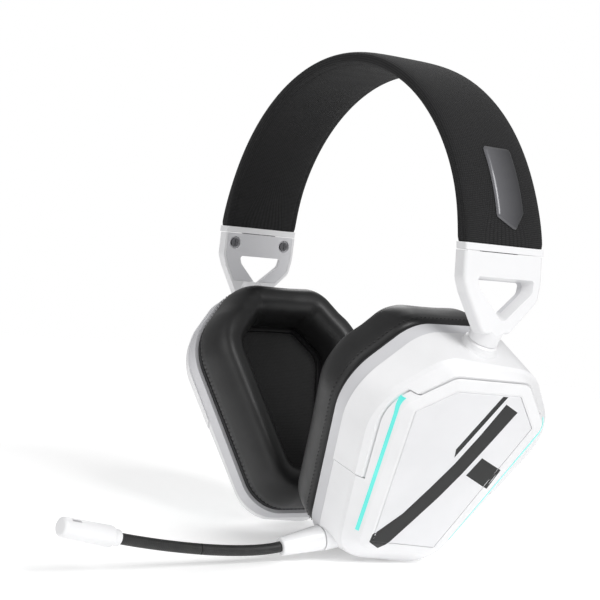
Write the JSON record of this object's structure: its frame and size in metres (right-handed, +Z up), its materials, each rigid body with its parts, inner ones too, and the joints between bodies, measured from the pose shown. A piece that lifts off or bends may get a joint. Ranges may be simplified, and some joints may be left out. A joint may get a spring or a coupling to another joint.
{
  "type": "gaming headset",
  "caption": "Wireless over-ear gaming headset with sliding yokes, canted ear cups on ball pivots, and a flexible plug-in microphone.",
  "frame": {"origin": "under the crown of the headband, on its inner face", "axes": "+X towards the wearer's left, -Y forwards, +Z up"},
  "size_m": [0.1912, 0.183, 0.2056],
  "materials": {
    "white_shell": "satin white",
    "white_face": "satin white",
    "white_yoke": "satin white",
    "white_cover": "matt",
    "grey_frame": "matt",
    "light_guide": "translucent",
    "dark_steel": "blackened",
    "plated_steel": "plated",
    "black_plastic": "matt",
    "cushion_leather": "soft sheen",
    "grille_cloth": "woven",
    "diaphragm_film": "film",
    "knit_fabric": "fine knit",
    "foam": "open cell",
    "badge_grey": "satin",
    "circuit_board": "solder mask",
    "battery_wrap": "foil",
    "button_grey": "matt",
    "mic_white": "satin white",
    "gooseneck_rubber": "matt"
  },
  "bodies": {
    "headband": {"headband_cover": "knit_fabric", "headband_arch": "plated_steel", "headband_pad": "foam", "badge_plate": "badge_grey", "slider_guides": "black_plastic", "end_collars": "white_yoke"},
    "left_slider": {"left_slider_blade": "plated_steel", "left_yoke": "white_yoke", "left_yoke_cover": "white_cover", "left_yoke_screws": "dark_steel"},
    "left_pivot": {"left_swivel_pin": "plated_steel"},
    "left_cup": {"left_shell": "white_shell", "left_hood": "white_shell", "left_frame_ring": "grey_frame", "left_face_plate": "white_face", "left_light_front": "light_guide", "left_light_rear": "light_guide", "left_cup_screws": "dark_steel", "left_cushion_plate": "black_plastic", "left_cushion": "cushion_leather", "left_grille_cloth": "grille_cloth", "left_driver_basket": "black_plastic", "left_driver_magnet": "plated_steel", "left_diaphragm": "diaphragm_film", "left_cross_pin": "plated_steel", "main_board": "circuit_board", "button_switches": "black_plastic", "charging_port": "plated_steel", "audio_jack": "black_plastic", "mic_socket": "white_shell"},
    "right_slider": {"right_slider_blade": "plated_steel", "right_yoke": "white_yoke", "right_yoke_cover": "white_cover", "right_yoke_screws": "dark_steel"},
    "right_pivot": {"right_swivel_pin": "plated_steel"},
    "right_cup": {"right_shell": "white_shell", "right_hood": "white_shell", "right_frame_ring": "grey_frame", "right_face_plate": "white_face", "right_light_front": "light_guide", "right_light_rear": "light_guide", "right_cup_screws": "dark_steel", "right_cushion_plate": "black_plastic", "right_cushion": "cushion_leather", "right_grille_cloth": "grille_cloth", "right_driver_basket": "black_plastic", "right_driver_magnet": "plated_steel", "right_diaphragm": "diaphragm_film", "right_cross_pin": "plated_steel", "battery": "battery_wrap"},
    "power_button": {"power_button": "button_grey"},
    "mute_button": {"mute_button": "button_grey"},
    "volume_wheel": {"volume_wheel": "button_grey"},
    "mic_arm": {"mic_base": "mic_white", "mic_plug": "plated_steel", "gooseneck_root": "gooseneck_rubber"},
    "mic_middle": {"gooseneck_middle": "gooseneck_rubber"},
    "mic_head": {"gooseneck_tip": "gooseneck_rubber", "mic_capsule": "mic_white", "mic_element": "dark_steel"}
  },
  "joints": [
    {"name": "left_slide", "type": "slide", "parent": "headband", "child": "left_slider", "axis": [0.1483, 0, -0.9889], "range_m": [0, 0.018]},
    {"name": "left_swivel", "type": "hinge", "parent": "left_slider", "child": "left_pivot", "pos_m": [0.0796, -0.0021, -0.1114], "axis": [0.4803, 0.021, 0.8769], "range_deg": [-8, 8]},
    {"name": "left_tilt", "type": "hinge", "parent": "left_pivot", "child": "left_cup", "pos_m": [0.0796, -0.0021, -0.1114], "axis": [0.0436, -0.999, 0], "range_deg": [0, 12]},
    {"name": "right_slide", "type": "slide", "parent": "headband", "child": "right_slider", "axis": [-0.1483, 0, -0.9889], "range_m": [0, 0.018]},
    {"name": "right_swivel", "type": "hinge", "parent": "right_slider", "child": "right_pivot", "pos_m": [-0.0796, -0.0021, -0.1114], "axis": [0.4803, -0.021, -0.8769], "range_deg": [-8, 8]},
    {"name": "right_tilt", "type": "hinge", "parent": "right_pivot", "child": "right_cup", "pos_m": [-0.0796, -0.0021, -0.1114], "axis": [0.0436, 0.999, 0], "range_deg": [0, 12]},
    {"name": "power_press", "type": "slide", "parent": "left_cup", "child": "power_button", "axis": [0.1578, -0.9647, 0.2109], "range_m": [0, 0.0006], "stiffness_N_per_m": 500},
    {"name": "mute_press", "type": "slide", "parent": "left_cup", "child": "mute_button", "axis": [0.1578, -0.9647, 0.2109], "range_m": [0, 0.0006], "stiffness_N_per_m": 500},
    {"name": "volume_turn", "type": "hinge", "parent": "left_cup", "child": "volume_wheel", "pos_m": [0.0414, 0.01562, -0.18583], "axis": [0.876, 0.0382, -0.4807], "range_deg": [-135, 135]},
    {"name": "mic_pull", "type": "slide", "parent": "left_cup", "child": "mic_arm", "axis": [-0.0565, -0.9818, -0.1811], "range_m": [0, 0.02]},
    {"name": "mic_bend_low", "type": "hinge", "parent": "mic_arm", "child": "mic_middle", "pos_m": [0.0292, -0.06836, -0.195], "axis": [0.876, 0.0382, -0.4807], "range_deg": [-22, 22]},
    {"name": "mic_bend_high", "type": "hinge", "parent": "mic_middle", "child": "mic_head", "pos_m": [0.03305, -0.10143, -0.19061], "axis": [-0.4684, -0.1695, -0.8671], "range_deg": [-25, 25]}
  ]
}
